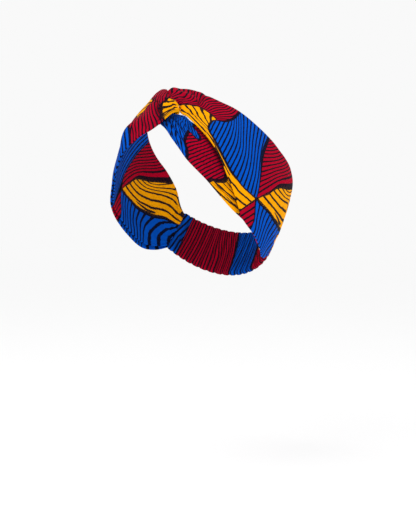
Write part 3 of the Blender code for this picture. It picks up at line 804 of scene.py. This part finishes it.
def nape_gathers(along, across, length):
    """Gathers in mm that run out of the casing at both ends of a strip."""
    spot = across / STRIP_WIDTH
    wave = np.sin(2.0 * math.pi * NAPE_GATHERS * spot + 1.7 * np.sin(5.0 * spot))
    near = np.minimum(along, length - along)
    reach = NAPE_GATHER_REACH * (0.75 + 0.25 * np.sin(13.0 * spot + 0.5))
    fade = np.exp(-(near / (0.55 * reach))**2)
    return NAPE_GATHER_HEIGHT * wave * fade


def cloth_loop(name, sections, folds, shadows, patches, lines, material):
    """One cloth strip with its folds, print and painted shade, from the nape round the knot and back."""
    table, stations = even_stations(sections)
    spots = np.linspace(0.0, 1.0, SPOTS_ACROSS + 1)
    along, across = np.meshgrid(stations, spots * STRIP_WIDTH, indexing="ij")
    length = stations[-1]
    relief = fold_relief(along, across, folds)
    # Painted shade in fold valleys and under overlapping strips
    shade = fold_shade(relief, along, across, shadows)
    relief = relief + soft_waves(along, across) + nape_gathers(along, across, length)
    middle, wall = strip_middle(table, spots, relief)
    body = body_from_loops(name, rounded_loops(middle, wall))
    all_patches = SIDE_PATCHES + mirrored(SIDE_PATCHES, length) + patches
    all_lines = SIDE_LINES + mirrored_lines(SIDE_LINES, length) + lines
    values = paint(along, across, all_patches, all_lines)
    put_print(body, *(round_the_loop(grid) for grid in (along, across, shade, *values)))
    body.data.materials.append(material)
    return body


def back_casing(name, material):
    """Gathered casing round the elastic at the nape, with its print and painted shade between its gathers.
    """
    stations = CASING_GATHERS * CASING_STEPS + 1
    spots = np.linspace(-1.0, 1.0, CASING_SPOTS)
    turn, spot = np.meshgrid(np.linspace(CASING_START, CASING_END, stations), spots, indexing="ij")
    part = (turn - CASING_START) / (CASING_END - CASING_START)
    uneven = 0.5 * np.sin(2.0 * math.pi * 2.3 * part) + 0.35 * np.sin(3.0 * spot)
    phase = 2.0 * math.pi * CASING_GATHERS * part + uneven
    ridge = (0.5 - 0.5 * np.cos(phase))**0.7
    sway = 0.25 * np.sin(2.0 * phase + 2.0 * spot)
    middle = place(turn, CASING_HALF_RISE * spot, np.full(turn.shape, CASING_LIFT))
    wall = (CASING_THICK + CASING_GATHER_DEPTH * ridge + sway) * MM
    body = body_from_loops(name, rounded_loops(middle[:, ::-1], wall))
    along = CASING_PRINT_START + CASING_PRINT_RUN * part
    across = CASING_PRINT_MIDDLE + CASING_PRINT_HALF * spot
    # Painted shade, darkest in the hollows between the gathers
    shade = 1.0 - VALLEY_SHADE * (1.0 - ridge)
    values = paint(along, across, SIDE_PATCHES + LEFT_PRINT, SIDE_LINES + LEFT_LINES)
    put_print(body, *(round_the_loop(grid[:, ::-1]) for grid in (along, across, shade, *values)))
    body.data.materials.append(material)
    return body


class Nodes:
    """Short way to add and link the nodes of one material."""

    def __init__(self, name):
        self.material = bpy.data.materials.new(name)
        self.material.use_nodes = True
        self.tree = self.material.node_tree
        self.shader = self.tree.nodes["Principled BSDF"]

    def add(self, kind, inputs=(), **settings):
        """A node with its settings, and its inputs by name or number as values or links."""
        node = self.tree.nodes.new(kind)
        for key, value in settings.items():
            setattr(node, key, value)
        for key, value in dict(inputs).items():
            self.feed(node.inputs[key], value)
        return node

    def feed(self, socket, value):
        """Set or link an input."""
        if isinstance(value, bpy.types.NodeSocket):
            self.tree.links.new(value, socket)
        else:
            socket.default_value = value

    def calculate(self, operation, *values):
        """Result of a math node."""
        return self.add("ShaderNodeMath", dict(enumerate(values)), operation=operation).outputs[0]

    def ramp(self, value, low, high, start=0.0, end=1.0):
        """Value moved smoothly from one range to another."""
        inputs = {"Value": value, "From Min": low, "From Max": high, "To Min": start, "To Max": end}
        return self.add("ShaderNodeMapRange", inputs, interpolation_type="SMOOTHSTEP").outputs[0]

    def noise(self, vector, scale, detail=2.0):
        """Even noise from 0 to 1."""
        inputs = {"Vector": vector, "Scale": scale, "Detail": detail}
        return self.add("ShaderNodeTexNoise", inputs).outputs["Fac"]

    def mix(self, factor, first, second, blend="MIX"):
        """Mix of two colours."""
        inputs = {0: factor, 6: first, 7: second}
        return self.add("ShaderNodeMix", inputs, data_type="RGBA", blend_type=blend).outputs[2]


def printed_cotton(name):
    """Plain woven cotton with the print: dyed patches, dark outlines and stripes, weave and uneven dye, with
    painted shade in folds and under overlapping strips.
    """
    nodes = Nodes(name)
    cloth = nodes.add("ShaderNodeUVMap", uv_map="Cloth").outputs[0]
    dye = nodes.add("ShaderNodeAttribute", attribute_name="print_dye")
    edge = nodes.add("ShaderNodeAttribute", attribute_name="print_and_shadow_edge").outputs["Fac"]
    stripe = nodes.add("ShaderNodeAttribute", attribute_name="print_stripe").outputs["Fac"]
    # Painted shade in fold valleys and under overlapping strips
    folds = nodes.add("ShaderNodeAttribute", attribute_name="fold_shade").outputs["Fac"]

    wobble = nodes.calculate("SUBTRACT", nodes.noise(cloth, WOBBLE_SCALE, 3.0), 0.5)
    swell = nodes.calculate("SUBTRACT", nodes.noise(cloth, SWELL_SCALE, 2.0), 0.5)
    bent = nodes.calculate("ADD", stripe, nodes.calculate("MULTIPLY", wobble, WOBBLE_SHARE))
    offset = nodes.calculate("ABSOLUTE", nodes.calculate("SUBTRACT", nodes.calculate("FRACT", bent), 0.5))
    half = nodes.calculate("MULTIPLY_ADD", swell, SWELL_SHARE, dye.outputs["Alpha"])
    line = nodes.ramp(nodes.calculate("SUBTRACT", offset, half), -0.02, 0.03, 1.0, 0.0)
    ragged = nodes.calculate("SUBTRACT", edge, swell)
    border = nodes.ramp(ragged, BORDER_HALF - BORDER_SOFT, BORDER_HALF + BORDER_SOFT, 1.0, 0.0)
    drawn = nodes.calculate("MAXIMUM", line, border)

    patchy = nodes.ramp(nodes.noise(cloth, PATCHY_SCALE, 4.0), 0.3, 0.7, 0.90, 1.0)
    fleck = nodes.ramp(nodes.noise(cloth, FLECK_SCALE, 2.0), 0.25, 0.75, 0.93, 1.03)
    # Uneven dye times the painted shade of folds and overlapping strips
    shade = nodes.calculate("MULTIPLY", nodes.calculate("MULTIPLY", patchy, fleck), folds)
    grey = nodes.add("ShaderNodeCombineColor", {0: shade, 1: shade, 2: shade}).outputs[0]
    ground = nodes.mix(1.0, dye.outputs["Color"], grey, "MULTIPLY")
    # Ink of the print's lines, and of the painted fold shadows at the knot
    ink_and_painted_shadow = nodes.mix(nodes.ramp(swell, -0.1, 0.25, 0.0, 0.10), (*LINE_INK_AND_SHADOW, 1.0), dye.outputs["Color"])
    nodes.feed(nodes.shader.inputs["Base Color"], nodes.mix(drawn, ground, ink_and_painted_shadow))

    parts = nodes.add("ShaderNodeSeparateXYZ", {0: cloth})
    warp = nodes.calculate("SINE", nodes.calculate("MULTIPLY", parts.outputs[0], THREAD_SCALE))
    weft = nodes.calculate("SINE", nodes.calculate("MULTIPLY", parts.outputs[1], THREAD_SCALE))
    weave = nodes.calculate("MULTIPLY", warp, weft)
    slub = nodes.calculate("MULTIPLY", nodes.noise(cloth, SLUB_SCALE, 3.0), SLUB_HEIGHT)
    height = nodes.calculate("ADD", weave, slub)
    relief = {"Height": height, "Strength": BUMP_STRENGTH, "Distance": BUMP_HEIGHT}
    bump = nodes.add("ShaderNodeBump", relief)
    nodes.feed(nodes.shader.inputs["Normal"], bump.outputs[0])
    nodes.feed(nodes.shader.inputs["Roughness"], nodes.ramp(drawn, 0.0, 1.0, 0.80, 0.68))
    nodes.shader.inputs["Specular IOR Level"].default_value = 0.03
    return nodes.material


def studio_floor():
    """Wide pale floor that fades into the background far from the object."""
    middle = (0.0, 0.0, FLOOR_HEIGHT)
    bpy.ops.mesh.primitive_circle_add(vertices=96, radius=FLOOR_RADIUS, fill_type="NGON", location=middle)
    floor = bpy.context.object
    floor.name = "studio_floor"
    nodes = Nodes("floor_white")
    nodes.shader.inputs["Base Color"].default_value = (0.93, 0.93, 0.93, 1.0)
    nodes.shader.inputs["Roughness"].default_value = 0.9
    nodes.shader.inputs["Specular IOR Level"].default_value = 0.1
    place_on_floor = nodes.add("ShaderNodeTexCoord").outputs["Object"]
    away = nodes.add("ShaderNodeVectorMath", {0: place_on_floor}, operation="LENGTH").outputs["Value"]
    glow = nodes.add("ShaderNodeEmission", {"Color": (1.0, 1.0, 1.0, 1.0), "Strength": BACKGROUND})
    blend = nodes.add("ShaderNodeMixShader", {0: nodes.ramp(away, FLOOR_FADE_START, FLOOR_FADE_END)})
    nodes.feed(blend.inputs[1], nodes.shader.outputs[0])
    nodes.feed(blend.inputs[2], glow.outputs[0])
    nodes.feed(nodes.tree.nodes["Material Output"].inputs["Surface"], blend.outputs[0])
    floor.data.materials.append(nodes.material)


def area_light(name, azimuth, elevation, distance, size, power):
    """Soft square light that shines at the origin from an azimuth and elevation in degrees."""
    azimuth = math.radians(azimuth)
    elevation = math.radians(elevation)
    lamp = bpy.data.lights.new(name, "AREA")
    lamp.size = size
    lamp.energy = power
    light = bpy.data.objects.new(name, lamp)
    level = math.cos(elevation)
    spot = Vector((math.sin(azimuth) * level, -math.cos(azimuth) * level, math.sin(elevation))) * distance
    light.location = spot
    light.rotation_euler = (-spot).to_track_quat("-Z", "Y").to_euler()
    bpy.context.scene.collection.objects.link(light)


def studio_light():
    """White surroundings with two soft lights."""
    world = bpy.data.worlds.new("studio")
    world.use_nodes = True
    backdrop = world.node_tree.nodes["Background"]
    backdrop.inputs["Color"].default_value = (1.0, 1.0, 1.0, 1.0)
    backdrop.inputs["Strength"].default_value = BACKGROUND
    bpy.context.scene.world = world
    bpy.context.scene.view_settings.view_transform = "Standard"
    area_light("key_light", azimuth=5.0, elevation=48.0, distance=2.2, size=1.3, power=14.0)
    area_light("fill_light", azimuth=95.0, elevation=25.0, distance=2.6, size=1.6, power=6.0)


def studio_camera():
    """Camera at the photograph's viewing angle."""
    lens = bpy.data.cameras.new("camera")
    lens.lens = CAMERA_LENS_MM
    lens.sensor_width = CAMERA_SENSOR_MM
    camera = bpy.data.objects.new("camera", lens)
    camera.location = CAMERA_PLACE
    level_turn = math.radians(90.0 - CAMERA_ELEVATION_DEG)
    camera.rotation_euler = Euler((level_turn, 0.0, math.radians(CAMERA_AZIMUTH_DEG)))
    bpy.context.scene.collection.objects.link(camera)
    bpy.context.scene.camera = camera


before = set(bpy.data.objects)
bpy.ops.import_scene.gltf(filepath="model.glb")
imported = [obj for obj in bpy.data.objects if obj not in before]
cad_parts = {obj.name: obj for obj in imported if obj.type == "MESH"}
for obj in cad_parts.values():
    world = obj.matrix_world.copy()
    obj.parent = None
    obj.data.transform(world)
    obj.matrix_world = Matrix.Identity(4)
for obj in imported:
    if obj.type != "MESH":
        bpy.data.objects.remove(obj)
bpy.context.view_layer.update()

studio_camera()
studio_light()
studio_floor()

cotton = printed_cotton("printed_cotton")
RIGHT_CLOTH = cloth_loop(
    "right_loop_cloth", RIGHT_LOOP, RIGHT_FOLDS, RIGHT_SHADOWS, RIGHT_PRINT, RIGHT_LINES_AND_FOLD_SHADOWS, cotton
)
LEFT_CLOTH = cloth_loop(
    "left_loop_cloth", LEFT_LOOP, LEFT_FOLDS, LEFT_SHADOWS, LEFT_PRINT, LEFT_LINES, cotton
)
CASING_CLOTH = back_casing("back_casing_cloth", cotton)

for piece, node, slot in (
    (RIGHT_CLOTH, "right_loop", "right_loop_cloth"),
    (LEFT_CLOTH, "left_loop", "left_loop_cloth"),
    (CASING_CLOTH, "back_casing", "casing_cloth"),
):
    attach(piece, "root")
    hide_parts(node)
